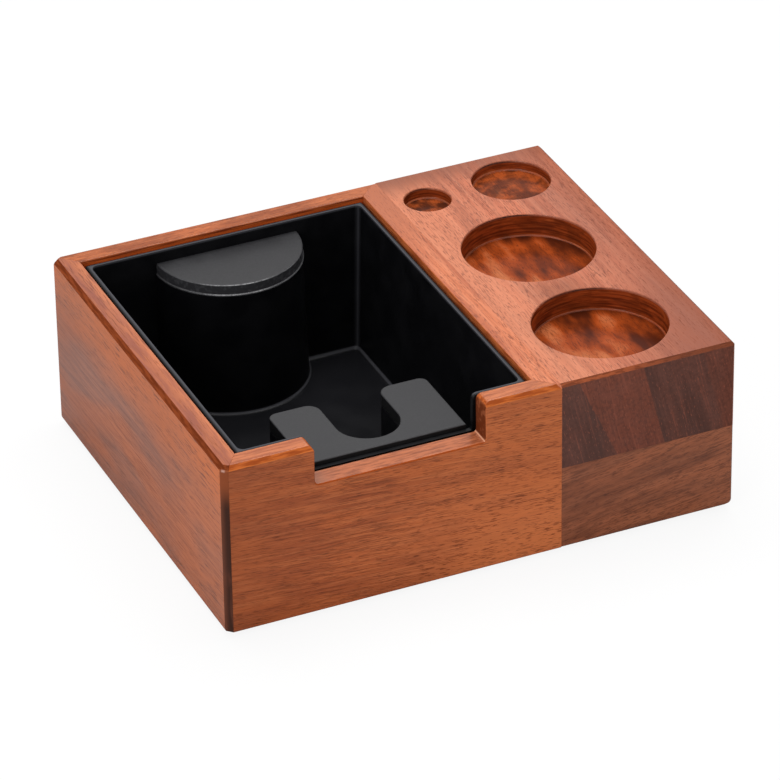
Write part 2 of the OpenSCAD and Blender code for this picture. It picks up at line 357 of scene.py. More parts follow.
def slice_off(piece, point, normal):
    """Saws the piece along a plane and drops what lies in front of it."""
    open_up(piece)
    bpy.ops.mesh.select_all(action="SELECT")
    bpy.ops.mesh.bisect(
        plane_co=point, plane_no=normal, use_fill=True, clear_outer=True, threshold=0.00001 * MM
    )
    close_up()


def soften(piece, width, angle):
    """Takes the sharpness off every edge, as sanding or a mould does."""
    settings = {
        "width": width, "segments": 2, "limit_method": "ANGLE",
        "angle_limit": math.radians(angle), "use_clamp_overlap": True,
    }
    apply_modifier(piece, "BEVEL", settings)


def polish(piece, angle):
    """Smooth shading up to that angle, led by the large faces."""
    only(piece)
    bpy.ops.object.shade_smooth_by_angle(angle=math.radians(angle))
    settings = {"mode": "FACE_AREA", "weight": 60, "keep_sharp": True}
    apply_modifier(piece, "WEIGHTED_NORMAL", settings)


def finished(piece, node, body, width, angle=28, smooth=32):
    """Softens and polishes the piece, and puts it in the place of its node."""
    if width:
        soften(piece, width, angle)
    polish(piece, smooth)
    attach(piece, body)
    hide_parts(node)
    return piece


# Frame boards, mitred at the corners

def outer_edge(edge, z, sides):
    """True for the edges at height z that lie on one of the box's outer sides."""
    if not all_at(edge, 2, z):
        return False
    places = ends(edge)
    middle = (places[0] + places[1]) / 2
    for axis, side in sides:
        if abs(middle[axis] - side) < CORNER_CHAMFER and not near(middle[axis], side + WALL, MM):
            if all(abs(co[axis] - side) < CORNER_CHAMFER + 0.1 * MM for co in places):
                return True
    return False


def frame_board(name, node, low, high, sides, corners, inner, saws, width=SOFT_FRAME, notch=None):
    """A board of the frame, between two corners seen from above.

    Its sides are its outer faces, its corners are free, inner is the axis and place of its
    inner face, and the saws cut its mitres.
    """
    low, high = Vector((*low, WOOD)), Vector((*high, TOP))

    def free_corner(edge):
        return runs(edge, 2) and any(all_at(edge, 0, x) and all_at(edge, 1, y) for x, y in corners)

    def corner_brow(edge):
        """The short edge between a corner's chamfer and the top chamfer."""
        return all_at(edge, 2, TOP - FRAME_CHAMFER) and any(
            all(abs(co.x - x) + abs(co.y - y) < 1.2 * CORNER_CHAMFER for co in ends(edge))
            for x, y in corners
        )

    board = block(name, low, high)
    open_up(board)
    if corners:
        round_edges(board, free_corner, CORNER_CHAMFER)
    round_edges(board, lambda e: outer_edge(e, TOP, sides), FRAME_CHAMFER)
    round_edges(board, lambda e: outer_edge(e, WOOD, sides), BOTTOM_ROUND, 4)
    if corners:
        round_edges(board, corner_brow, CORNER_BROW, 3)
    axis, at = inner
    round_edges(board, lambda e: all_at(e, axis, at) and all_at(e, 2, TOP), INNER_ARRIS, 2)
    close_up()
    if notch:
        notch(board)
    seat_low = base_low - Vector((BASE_GAP, BASE_GAP, REACH))
    seat_high = base_high + Vector((BASE_GAP, BASE_GAP, 0))
    carve(board, block("base seat", seat_low, seat_high))
    for saw in saws:
        mitre(board, saw, (low + high) / 2)
    return finished(board, node, "box", width)


def mitre(board, saw, keep):
    """Saws the board along a line seen from above, on the side away from keep."""
    (x, y), (inner_x, inner_y) = saw
    start = Vector((x, y, TOP))
    along = Vector((inner_x - x, inner_y - y, 0)).normalized()
    normal = Vector((along.y, -along.x, 0))
    if normal.dot(keep - start) > 0:
        normal = -normal
    slice_off(board, start, normal)


def notch_cutter(left, right, floor, top, corner_r, floor_r, y0, y1):
    """A cutter for a notch with a rounded floor and with corners that open out at the top."""
    cutter = block("notch cutter", (left, y0, floor), (right, y1, top - corner_r))
    open_up(cutter)
    round_edges(cutter, lambda e: runs(e, 1) and all_at(e, 2, floor), floor_r, 4)
    pick(cutter, "FACE", lambda f: all(near(v.co.z, top - corner_r) for v in f.verts))
    x, y = (left + right) / 2, (y0 + y1) / 2
    flare = arc((right - left) / 2 + corner_r, top - corner_r, corner_r, 180, 90, 6)
    for (half, z), (next_half, next_z) in zip(flare, flare[1:]):
        raise_top(next_z - z, (next_half / half, 1), (x, y, next_z))
    raise_top(REACH, (1, 1), (x, y, top))
    close_up()
    return cutter


def cut_notch(board):
    """The notch in the front board, with a fine arris on its straight front edges."""
    cutter = notch_cutter(
        NOTCH_LEFT, NOTCH_RIGHT, NOTCH_FLOOR, TOP, NOTCH_TOP_R, NOTCH_FLOOR_R,
        FRONT - REACH, FRONT + WALL + REACH,
    )
    carve(board, cutter)
    slack = 0.01 * MM

    def front_arris(edge):
        return all_at(edge, 1, FRONT) and all(
            NOTCH_FLOOR - slack < co.z < TOP - NOTCH_TOP_R + slack
            and NOTCH_LEFT - slack < co.x < NOTCH_RIGHT + slack for co in ends(edge)
        )

    open_up(board)
    round_edges(board, front_arris, NOTCH_ARRIS)
    close_up()


def make_base_board():
    board = block("base_panel", base_low, base_high)
    open_up(board)
    round_edges(board, lambda e: all_at(e, 2, base_low.z), BASE_ROUND, 2)
    round_edges(board, lambda e: runs(e, 2), BASE_CORNER_R, 3)
    close_up()
    return finished(board, "base_board", "box", SOFT_BASE)


FRONT_LEFT = (LEFT, FRONT)
BACK_LEFT = (LEFT, BACK)

# Saw lines of the mitres. The one at the front left follows the right edge of the chamfer.
FRONT_LEFT_SAW = ((LEFT + CORNER_CHAMFER, FRONT), (LEFT + WALL, FRONT + WALL))
BACK_LEFT_SAW = (BACK_LEFT, (LEFT + WALL, BACK - WALL))
FRONT_SEAM_SAW = ((SEAM, FRONT), (SEAM - WALL, FRONT + WALL))
BACK_SEAM_SAW = ((SEAM, BACK), (SEAM - WALL, BACK - WALL))

left_panel = frame_board(
    "left_panel", "left_board", FRONT_LEFT, (LEFT + WALL, BACK),
    [(0, LEFT), (1, FRONT), (1, BACK)], [FRONT_LEFT, BACK_LEFT], (0, LEFT + WALL),
    [FRONT_LEFT_SAW, BACK_LEFT_SAW],
)
front_panel = frame_board(
    "front_panel", "front_board", FRONT_LEFT, (SEAM, FRONT + WALL),
    [(1, FRONT), (0, LEFT)], [FRONT_LEFT], (1, FRONT + WALL),
    [FRONT_LEFT_SAW, FRONT_SEAM_SAW], SOFT_FRONT, cut_notch,
)
back_panel = frame_board(
    "back_panel", "back_board", (LEFT, BACK - WALL), (SEAM, BACK),
    [(1, BACK), (0, LEFT)], [BACK_LEFT], (1, BACK - WALL), [BACK_LEFT_SAW, BACK_SEAM_SAW],
)
inner_panel = frame_board(
    "inner_panel", "inner_board", (SEAM - WALL, FRONT), (SEAM, BACK),
    [(1, FRONT), (1, BACK)], [], (0, SEAM - WALL), [FRONT_SEAM_SAW, BACK_SEAM_SAW],
)
base_panel = make_base_board()


# Tool block, laminated from two layers

def free_edge(edge, z):
    """True for the edges at height z on the block's outer sides."""
    if not all_at(edge, 2, z) or all_at(edge, 0, SEAM):
        return False
    for axis, side in [(0, RIGHT), (1, FRONT), (1, BACK)]:
        if all(abs(co[axis] - side) < BLOCK_CHAMFER + 0.05 * MM for co in ends(edge)):
            return True
    return False


def upright(edge):
    """True for the upright edges on the block's right, and the mitred arcs that end them."""
    a, b = ends(edge)
    across = [min(abs(co.y - FRONT), abs(co.y - BACK)) for co in (a, b)]
    return all(near(RIGHT - co.x, gap) for co, gap in zip((a, b), across)) and not near(a.z, b.z)


def recess_cutter(x, y, radius, floor):
    """A cutter with a small fillet round the floor and a rounded rim."""
    profile = arc(radius - RECESS_FILLET, floor + RECESS_FILLET, RECESS_FILLET, -90, 0, 4)
    rim = arc(radius + RECESS_RIM, TOP - RECESS_RIM, RECESS_RIM, 0, 90, 3)
    profile += [(2 * (radius + RECESS_RIM) - r, z) for r, z in rim]
    profile.append((profile[-1][0], TOP + REACH))
    return turned("recess cutter", x, y, profile, 128)


def make_upper_layer():
    layer = block("block_top_layer", block_low, block_high)
    open_up(layer)
    round_edges(layer, upright, BLOCK_CHAMFER, 3)
    round_edges(layer, lambda e: free_edge(e, TOP), BLOCK_CHAMFER)
    close_up()
    for recess in RECESSES:
        carve(layer, recess_cutter(*recess))
    return finished(layer, "tool_block_upper", "box", SOFT_UPPER, angle=35, smooth=30)


def make_lower_layer():
    layer = block("block_bottom_layer", stand_low, stand_high)
    open_up(layer)
    round_edges(layer, lambda e: free_edge(e, WOOD), BLOCK_BOTTOM_ROUND, 5)
    round_edges(layer, upright, BLOCK_CHAMFER, 3)
    close_up()
    return finished(layer, "tool_block_lower", "box", SOFT_LOWER, angle=35, smooth=30)


block_top = make_upper_layer()
block_bottom = make_lower_layer()


# Bin: a drafted tray with the post and the rest moulded in

def drafted_block(name, low, high, lean, corner_r, floor_r):
    """A block whose sides lean in towards the bottom, with rounded corners."""
    size = high - low
    middle = (low + high) / 2
    tray = block(name, low, high)
    open_up(tray)
    pick(tray, "FACE", lambda f: f.normal.z < -0.9)
    shrink = (1 - 2 * lean / size.x, 1 - 2 * lean / size.y, 1)
    bpy.ops.transform.resize(value=shrink, center_override=(middle.x, middle.y, low.z))
    round_edges(
        tray, lambda e: not (all_at(e, 2, low.z) or all_at(e, 2, high.z)), corner_r, 8
    )
    round_edges(tray, lambda e: all_at(e, 2, low.z), floor_r, 5)
    close_up()
    return tray


def bin_shell():
    """The tray, with a square-cornered rim on a body with rounder corners."""
    wall = Vector((BIN_WALL, BIN_WALL, 0))
    inset = Vector((RIM_STEP, RIM_STEP, 0))
    shell = drafted_block(
        "lift_out_bin", bin_low + inset, bin_high - inset - Vector((0, 0, RIM_DEPTH / 2)),
        lean_at(bin_low.z), BIN_CORNER_R + BIN_WALL, BIN_FILLET + BIN_WALL,
    )
    rim = block("rim", (bin_low.x, bin_low.y, RIM - RIM_DEPTH), bin_high)
    open_up(rim)
    round_edges(rim, lambda e: runs(e, 2), RIM_CORNER_R, 4)
    round_edges(rim, lambda e: all_at(e, 2, RIM), RIM_EDGE_R, 4)
    close_up()
    carve(shell, rim, "UNION")
    room = drafted_block(
        "bin room", bin_low + wall + Vector((0, 0, BIN_FLOOR)), bin_high - wall, BIN_DRAFT,
        BIN_CORNER_R, BIN_FILLET,
    )
    open_up(room)
    pick(room, "FACE", lambda f: f.normal.z > 0.9)
    raise_top(REACH, (1, 1), bin_high)
    close_up()
    carve(shell, room)
    return shell


def half_round(name, shrink, flare, foot, shoulder, neck_top):
    """The post, drawn in by shrink, with its front plumb and its sides spreading to the foot."""
    foot_r = POST_FOOT_R - shrink
    top_r = POST_TOP_R - shrink
    neck_r = top_r - CAP_SKIRT - CAP_GAP
    front = POST_FRONT + shrink
    rings = [(foot_r + flare, foot)]
    if flare:
        rings += arc(foot_r + flare, FLOOR + flare, flare, 270, 180, 5)
    post = start_turning(name, POST_X, front + foot_r, rings)
    radius, z = rings[-1]
    scale = top_r / radius
    raise_top(shoulder - z, (scale, scale), (POST_X, front, shoulder))
    scale = neck_r / top_r
    raise_top(0, (scale, scale), (POST_X, front + top_r, shoulder))
    raise_top(neck_top - shoulder, (1, 1), (POST_X, front, neck_top))
    stop_turning()
    return post


def back_plane(shift):
    """A point and a normal of the leaning plane of the bin's back wall."""
    point = Vector((POST_X, back_face(RIM) + shift, RIM))
    rise = Vector((0, back_face(RIM) - back_face(FLOOR), RIM - FLOOR)).normalized()
    return point, Vector((0, rise.z, -rise.y))


def rest_block(name, low_z, high_z, front, slant, with_neck):
    """The U-shaped rest. Its front leans in by slant at the bottom, as the bin's wall does."""
    low = Vector((rest_cap_low.x, front, low_z))
    high = Vector((rest_cap_high.x, rest_cap_high.y, high_z))
    rest = block(name, low, high)
    open_up(rest)
    pick(rest, "EDGE", lambda e: all_at(e, 1, front) and all_at(e, 2, low_z))
    bpy.ops.transform.translate(value=(0, slant, 0))
    close_up()
    slot = block(
        "slot cutter", (REST_X - SLOT_R, SLOT_END, low_z - REACH),
        (REST_X + SLOT_R, high.y + REACH, high_z + REACH),
    )
    open_up(slot)
    # A hair less than half the width, so that the two rounds don't meet in one line
    round_edges(slot, lambda e: runs(e, 2) and all_at(e, 1, SLOT_END), SLOT_R * 0.9995, 24)
    close_up()
    carve(rest, slot)

    def arm_edges(*places):
        """A test for the arms' upright edges at those places across."""
        return lambda e: runs(e, 2) and all_at(e, 1, high.y) and any(
            all_at(e, 0, x) for x in places
        )

    open_up(rest)
    round_edges(rest, arm_edges(low.x, high.x), ARM_OUTER_R, 6)
    round_edges(rest, arm_edges(REST_X - SLOT_R, REST_X + SLOT_R), ARM_INNER_R, 8)
    if with_neck:
        pick(rest, "FACE", lambda f: f.normal.z > 0.9)
        bpy.ops.mesh.inset(thickness=CAP_SKIRT + CAP_GAP, depth=0)
        raise_top(REST_NECK_TOP - high_z, (1, 1), high)
    close_up()
    return rest


def arm_pocket(side):
    """The hollow under one arm of the rest, open below."""
    near_side = REST_X + side * (SLOT_R + HOLLOW)
    far_side = REST_X + side * ((rest_cap_high.x - rest_cap_low.x) / 2 - HOLLOW)
    pocket = block(
        "arm pocket",
        (min(near_side, far_side), front_face(bin_low.z) + HOLLOW, bin_low.z - REACH),
        (max(near_side, far_side), rest_cap_high.y - HOLLOW, REST_SHOULDER - HOLLOW),
    )
    open_up(pocket)
    round_edges(pocket, lambda e: runs(e, 2), POCKET_CORNER_R, 3)
    close_up()
    return pocket


def make_bin():
    shell = bin_shell()
    post = half_round("post", 0, POST_FILLET, MOULD_FOOT, POST_SHOULDER, POST_NECK_TOP)
    slice_off(post, *back_plane(ROOT))
    carve(shell, post, "UNION")
    slant = lean_at(MOULD_FOOT) - lean_at(REST_SHOULDER)
    front = front_face(REST_SHOULDER) - ROOT
    rest = rest_block("rest", MOULD_FOOT, REST_SHOULDER, front, slant, True)
    carve(shell, rest, "UNION")
    hollow = half_round(
        "post hollow", HOLLOW, 0, bin_low.z - REACH, POST_SHOULDER - HOLLOW, POST_NECK_TOP - HOLLOW
    )
    slice_off(hollow, *back_plane(0))
    carve(shell, hollow)
    for side in (-1, 1):
        carve(shell, arm_pocket(side))
    cutter = notch_cutter(
        NOTCH_LEFT + LIP_SHOW, NOTCH_RIGHT - LIP_SHOW, NOTCH_FLOOR - LIP_DROP, RIM,
        LIP_R, LIP_FLOOR_R, bin_low.y - REACH, rest_cap_low.y - CAP_CLEAR,
    )
    carve(shell, cutter)
    return finished(shell, "bin_liner", "bin", SOFT_BIN, angle=40, smooth=35)


# Rubber caps

def make_post_cap():
    low, high = post_cap_low.z, post_cap_high.z
    middle_y = POST_FRONT + POST_TOP_R
    lip_r = POST_TOP_R + CAP_LIP
    lip_top = low + CAP_LIP_HEIGHT
    edge = POST_CAP_EDGE
    profile = [
        (lip_r - CAP_LIP_EDGE, low), (lip_r, low + CAP_LIP_EDGE), (lip_r, lip_top - CAP_LIP_EDGE),
        (POST_TOP_R, lip_top),
    ]
    profile += arc(POST_TOP_R - edge, high - edge, edge, 0, 90, 4)
    cap = turned("half_round_cap", POST_X, middle_y, profile, 160)
    slice_off(cap, *back_plane(-CAP_CLEAR))
    inner_r = POST_TOP_R - CAP_SKIRT
    profile = [(inner_r, low - REACH), (inner_r, high - CAP_TOP)]
    inside = turned("cap inside", POST_X, middle_y, profile, 160)
    slice_off(inside, *back_plane(REACH))
    carve(cap, inside)
    return finished(cap, "knock_post_cap", "post_cap", SOFT_CAP, angle=35, smooth=35)


def make_rest_cap():
    low, high = rest_cap_low.z, rest_cap_high.z
    cap = rest_block("u_shaped_cap", low, high, rest_cap_low.y, 0, False)
    open_up(cap)
    pick(cap, "FACE", lambda f: f.normal.z < -0.9)
    bpy.ops.mesh.inset(thickness=CAP_SKIRT, depth=0)
    raise_top(high - CAP_TOP - low, (1, 1), rest_cap_high)
    round_edges(cap, lambda e: all_at(e, 2, high), REST_CAP_EDGE, 3)
    close_up()
    return finished(
        cap, "portafilter_rest_cap", "rest_cap", SOFT_CAP, angle=40, smooth=35
    )


# Rubber feet

def make_foot(number, node):
    low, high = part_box(node)
    middle = (low + high) / 2
    radius = (high.x - low.x) / 2
    profile = [(radius - FOOT_EDGE, low.z)]
    profile += arc(radius - FOOT_EDGE, low.z + FOOT_EDGE, FOOT_EDGE, -45, 0, 2)
    profile.append((radius, high.z))
    foot = turned(f"foot_pad_{number}", middle.x, middle.y, profile, 64)
    open_up(foot)
    pick(foot, "FACE", lambda f: all(near(v.co.z, low.z) for v in f.verts))
    bpy.ops.mesh.inset(thickness=FOOT_BAND, depth=0)
    bpy.ops.mesh.inset(thickness=FOOT_SLOPE, depth=0)
    raise_top(FOOT_DISH, (1, 1), middle)
    close_up()
    return finished(foot, node, "box", None, smooth=40)


bin_piece = make_bin()
post_cap = make_post_cap()
rest_cap = make_rest_cap()
feet = [make_foot(number, node) for number, node in enumerate(FOOT_NODES, 1)]


# Shader sums

def tint(red, green, blue):
    """A colour from its values on a screen, 0 to 255."""
    levels = []
    for value in (red, green, blue):
        share = value / 255
        levels.append(share / 12.92 if share <= 0.04045 else ((share + 0.055) / 1.055) ** 2.4)
    return (*levels, 1)


def sum_node(operation, swapped=False):
    """A method of Wire that adds one Math node."""
    def method(wire, *others):
        terms = (wire, *others)
        values = dict(enumerate(reversed(terms) if swapped else terms))
        return wire.nodes.add("ShaderNodeMath", {"operation": operation}, values)
    return method


class Wire:
    """A socket that sums can be written with."""

    def __init__(self, nodes, socket):
        self.nodes = nodes
        self.socket = socket

    __add__ = sum_node("ADD")
    __radd__ = sum_node("ADD", True)
    __sub__ = sum_node("SUBTRACT")
    __rsub__ = sum_node("SUBTRACT", True)
    __mul__ = sum_node("MULTIPLY")
    __rmul__ = sum_node("MULTIPLY", True)
    __truediv__ = sum_node("DIVIDE")
    __abs__ = sum_node("ABSOLUTE")
    least = sum_node("MINIMUM")
    most = sum_node("MAXIMUM")

    def __neg__(self):
        return -1.0 * self

    def step(self, low, high, start=0.0, stop=1.0):
        """A smooth step from start to stop as the value goes from low to high."""
        settings = {"interpolation_type": "SMOOTHSTEP", "clamp": True}
        values = {0: self, 1: low, 2: high, 3: start, 4: stop}
        return self.nodes.add("ShaderNodeMapRange", settings, values)

    def fall(self, low, high):
        return self.step(low, high, 1.0, 0.0)

    def between(self, low, high, edge):
        """One where the value lies between two limits, with soft edges."""
        return self.step(low - edge, low + edge) * self.fall(high - edge, high + edge)

    def mix(self, share, other):
        return self.nodes.mix(share, self, other)


class Nodes:
    """A node tree, to which every node is added by one method."""

    def __init__(self, tree):
        self.tree = tree
        self.tree.nodes.clear()

    def add(self, kind, settings, values, out=0):
        """Adds a node: its settings are set first, then its sockets' values or links."""
        node = self.tree.nodes.new(kind)
        for key, value in settings.items():
            setattr(node, key, value)
        for key, value in values.items():
            socket = node.inputs[key]
            if isinstance(value, Wire):
                self.tree.links.new(value.socket, socket)
            else:
                socket.default_value = value
        return Wire(self, node.outputs[out]) if node.outputs else node


class Finish(Nodes):
    """A material under construction."""

    def __init__(self, name):
        self.material = bpy.data.materials.new(name)
        self.material.use_nodes = True
        super().__init__(self.material.node_tree)
        spot = self.add("ShaderNodeTexCoord", {}, {}, "Object")
        in_mm = {0: spot, "Scale": 1 / MM}
        self.spot = self.add("ShaderNodeVectorMath", {"operation": "SCALE"}, in_mm)
        self.place = self.split(self.spot)
        self.facing = self.split(self.add("ShaderNodeTexCoord", {}, {}, "Normal"))

    def split(self, vector):
        node = self.add("ShaderNodeSeparateXYZ", {}, {0: vector}).socket.node
        return [Wire(self, node.outputs[i]) for i in range(3)]

    def noise(self, x, y, z, detail=2.0):
        spot = self.add("ShaderNodeCombineXYZ", {}, {0: x, 1: y, 2: z})
        values = {"Vector": spot, "Scale": 1.0, "Detail": detail, "Roughness": 0.5}
        return self.add("ShaderNodeTexNoise", {"noise_dimensions": "3D"}, values, "Fac")

    def grains(self, size, detail=2.0):
        """Even grains of a size in millimetres."""
        values = {"Vector": self.spot, "Scale": 1.0 / size, "Detail": detail}
        return self.add("ShaderNodeTexNoise", {"noise_dimensions": "3D"}, values, "Fac")

    def mix(self, share, first, second):
        settings = {"data_type": "RGBA", "blend_type": "MIX", "clamp_factor": True}
        return self.add("ShaderNodeMix", settings, {0: share, 6: first, 7: second}, 2)

    def bump(self, height, strength, depth):
        values = {"Height": height, "Strength": strength, "Distance": depth * MM}
        return self.add("ShaderNodeBump", {}, values)

    def surface(self, values):
        shader = self.add("ShaderNodeBsdfPrincipled", {}, values)
        self.add("ShaderNodeOutputMaterial", {}, {"Surface": shader})
        return self.material


# Wood

def wood(name, axis, seed, tones, marks, local, shine):
    """Oiled hardwood, solid all the way through, with its grain along one axis.

    The tones are deep, mid, pale and pore. The marks are the length and width of the patches,
    lines, fibres and pores, how much each shows, and how far the grain climbs.
    """
    finish = Finish(name)
    x, y, z = finish.place
    deep, mid, pale, pore = tones
    along, across = (x, y) if axis == "X" else (y, x)
    wave = finish.noise(along / 70.0 + seed, across / 30.0, z / 30.0, 1.0)
    wave = (wave - 0.5) * 2.5
    across = across + wave
    rise = z + wave + along * marks["climb"]

    def figure(size, detail=2.0):
        length, width = size
        return finish.noise(along / length + seed, across / width, rise / width, detail)

    patch = figure(marks["patch"])
    line = figure(marks["line"])
    fibre = figure(marks["fibre"], 3.0)
    crowd = figure((26.0, 6.0), 1.0)
    grit = figure(marks["pore"], 1.0) + (crowd - 0.5) * 0.2
    level = marks["pore_level"]
    fleck = grit.step(level, level + 0.07)
    colour = finish.mix(patch.step(0.38, 0.62), deep, mid)
    colour = colour.mix(line.step(0.40, 0.68) * marks["line_share"], pale)
    colour = colour.mix(fibre.step(0.47, 0.66) * marks["fibre_share"], pore)
    colour = colour.mix(fleck * marks["pore_share"], pore)
    gloss = patch.step(0.3, 0.7, shine * 1.1, shine * 0.85)
    if local:
        colour, gloss = local(finish, colour, gloss, fleck)
    height = fibre * 0.3 - fleck * 0.7 + line * 0.2
    return finish.surface({
        "Base Color": colour,
        "Roughness": line.step(0.3, 0.7, 0.42, 0.52),
        "Specular IOR Level": 0.0,
        "Normal": finish.bump(height, 0.35, 0.12),
        "Coat Weight": gloss,
        "Coat Roughness": 0.24,
        "Coat IOR": 1.5,
    })


def slope_mask(finish):
    """One on the sloping top chamfers, nought elsewhere."""
    _, _, nz = finish.facing
    return nz.step(0.40, 0.60) * nz.fall(0.80, 0.90)


def left_local(finish, colour, gloss, fleck):
    x, y, z = finish.place
    nx, ny, nz = finish.facing
    bare = 1.0 - fleck
    # Painted sheen: the side is more orange towards the top and the front, and greyer and darker
    # further back and lower down, where a soft reflection greys it.
    toward_top = z.step(50.0, 80.0)
    toward_front = y.fall(-92.0, -30.0)
    warm = toward_top * 0.6 + toward_front * 0.3
    colour = colour.mix(warm * bare, tint(194, 106, 60))
    far = y.step(10.0, 96.0) * (1.0 - toward_top)
    colour = colour.mix(far * 0.45 * bare, tint(118, 68, 52))
    upward = nz.step(0.85, 0.95)
    mauve = finish.noise(x / 2.4, y / 22.0, 2.0, 3.0).step(0.40, 0.62)
    top = finish.mix(mauve, tint(164, 98, 72), tint(142, 84, 70))
    near_bin = x.step(-115.5, -110.5) * mauve.step(0.0, 1.0, 0.8, 0.4)
    top = top.mix(near_bin, tint(196, 120, 84))
    colour = colour.mix(upward * (1.0 - 0.7 * fleck) * 0.9, top)
    # Painted shade: the top chamfer, which faces left, is painted darker.
    run = finish.noise(x / 0.9, y / 9.0, z / 0.9, 4.0).step(0.38, 0.64)
    slope = finish.mix(run, tint(102, 45, 21), tint(130, 62, 32))
    slopes = slope_mask(finish)
    colour = colour.mix(slopes, slope)
    # The corner band is dark end grain with painted shade on it: its right half, turned away from
    # the light, is painted darker.
    band = (-nx).least(-ny).step(0.30, 0.50) * (1.0 - slopes)
    across = (x - LEFT / MM) - (y - FRONT / MM)
    streak = finish.noise(x / 3.0, y / 3.0, z / 14.0, 3.0)
    end = finish.mix(across.step(-3.2, 1.0), tint(98, 58, 44), tint(60, 36, 28))
    end = end.mix(streak.step(0.5, 0.7) * 0.4, tint(110, 62, 46))
    end = end.mix(z.step(64.0, 78.0) * 0.8, tint(142, 74, 44))
    # Painted glint on the rounded top of the corner band.
    painted_glint = z.step(TOP / MM - 3.0, TOP / MM - 2.2)
    painted_glint = painted_glint * nz.fall(0.55, 0.62)
    painted_glint = painted_glint * abs(across + 0.7).fall(0.5, 1.7)
    end = end.mix(painted_glint * 0.5, tint(226, 186, 172))
    colour = colour.mix(band, end)
    dull = (1.0 - 0.85 * slopes) * (1.0 - 0.7 * band) * (1.0 - 0.35 * toward_top)
    return colour, gloss * (dull + 0.35 * upward)


def front_local(finish, colour, gloss, fleck):
    x, y, z = finish.place
    nx, ny, nz = finish.facing
    bare = 1.0 - fleck
    # Painted light and shade on the front face: lighter towards the right and lighter again low
    # down, and darker towards the left end.
    warm = x.step(-70.0, 36.0)
    low = z.fall(6.0, 50.0)
    colour = colour.mix(warm * 0.5 * bare, tint(196, 108, 60))
    colour = colour.mix(warm * low * 0.5 * bare, tint(214, 124, 74))
    cool = x.fall(-119.0, -60.0)
    colour = colour.mix(cool * 0.4 * bare, tint(140, 72, 40))
    upward = nz.step(0.85, 0.95)
    soft = finish.noise(x / 24.0, y / 1.6, 5.0, 3.0).step(0.40, 0.62)
    top = finish.mix(soft, tint(162, 90, 60), tint(196, 116, 76))
    colour = colour.mix(upward * 0.8 * (1.0 - 0.4 * fleck), top)
    above_floor = z - NOTCH_FLOOR / MM
    # Painted reflection: the left end of the notch floor is greyed.
    painted_reflection_at_end = x.fall(NOTCH_LEFT / MM + 2.0, NOTCH_LEFT / MM + 12.0)
    painted_reflection_at_end = painted_reflection_at_end * upward * above_floor.fall(1.0, 2.0)
    colour = colour.mix(painted_reflection_at_end * 0.5, tint(128, 92, 76))
    low_down = above_floor.fall(1.5, 2.0)
    dirt = finish.noise(x / 8.0, y / 1.4, 9.0, 4.0)
    worn = finish.mix(dirt.step(0.42, 0.64), tint(180, 104, 68), tint(128, 70, 46))
    colour = colour.mix(low_down * upward * 0.75 * (1.0 - painted_reflection_at_end), worn)
    corner = nz.between(0.45, 0.80, 0.08) * low_down
    lit_corner = corner * (-nx).step(0.3, 0.5)
    arris = nz.between(0.30, 0.95, 0.03) * low_down
    arris = arris * (-ny).step(0.2, 0.4)
    # Painted highlight: a lighter line along the lower edge of the top chamfer.
    edge = z.fall(TOP / MM - 2.3, TOP / MM - 1.5)
    run = finish.noise(x / 9.0, y / 1.5, z / 0.7, 3.0)
    slope = finish.mix(run.step(0.40, 0.62), tint(150, 70, 30), tint(186, 96, 44))
    slope = slope.mix(edge * 0.7, tint(216, 128, 66))
    colour = colour.mix(slope_mask(finish) * (1.0 - low_down), slope)
    colour = colour.mix(arris * 0.9, tint(156, 70, 28))
    colour = colour.mix(lit_corner * 0.7, tint(238, 176, 142))
    cheek = abs(nx).step(0.75, 0.95)
    blotch = finish.grains(3.0, 3.0).step(0.5, 0.68)
    cut = finish.mix(blotch * 0.5, tint(108, 50, 25), tint(170, 98, 64))
    colour = colour.mix(cheek, cut)
    sloping = (slope_mask(finish) * 0.6).most(arris)
    return colour, gloss * (1.0 + 1.4 * upward) * (1.0 - 0.4 * cheek) * (1.0 - sloping)


def back_local(finish, colour, gloss, fleck):
    x, y, z = finish.place
    _, ny, _ = finish.facing
    inward = (-ny).step(0.75, 0.95)
    light = finish.noise(x / 16.0, y, z / 0.6, 4.0).step(0.42, 0.60)
    face = finish.mix(light, tint(132, 54, 24), tint(190, 92, 42))
    # Painted highlight: the inner face is lighter orange towards its foot. It is darker along its
    # top.
    face = face.mix(z.step(83.4, 84.3, 0.65, 0.0), tint(226, 98, 38))
    face = face.mix(z.step(84.2, 84.9) * 0.5, tint(112, 46, 24))
    near_seam = x.step(-10.0, 34.0) * (1.0 - inward)
    colour = colour.mix(near_seam * 0.5 * (1.0 - 0.6 * fleck), tint(178, 106, 74))
    colour = colour.mix(inward, face)
    return colour, gloss * (1.0 - 0.6 * inward)


def inner_local(finish, colour, gloss, fleck):
    x, y, z = finish.place
    nx, _, _ = finish.facing
    inward = (-nx).step(0.6, 0.9)
    run = finish.noise(x, y / 12.0, z / 0.8).step(0.4, 0.6)
    face = finish.mix(run, tint(168, 82, 42), tint(206, 112, 62))
    far_end = y.step(20.0, 88.0)
    colour = colour.mix(far_end * (1.0 - 0.6 * fleck), tint(172, 100, 70))
    colour = colour.mix(inward, face)
    return colour, gloss * (1.0 - 0.6 * inward)


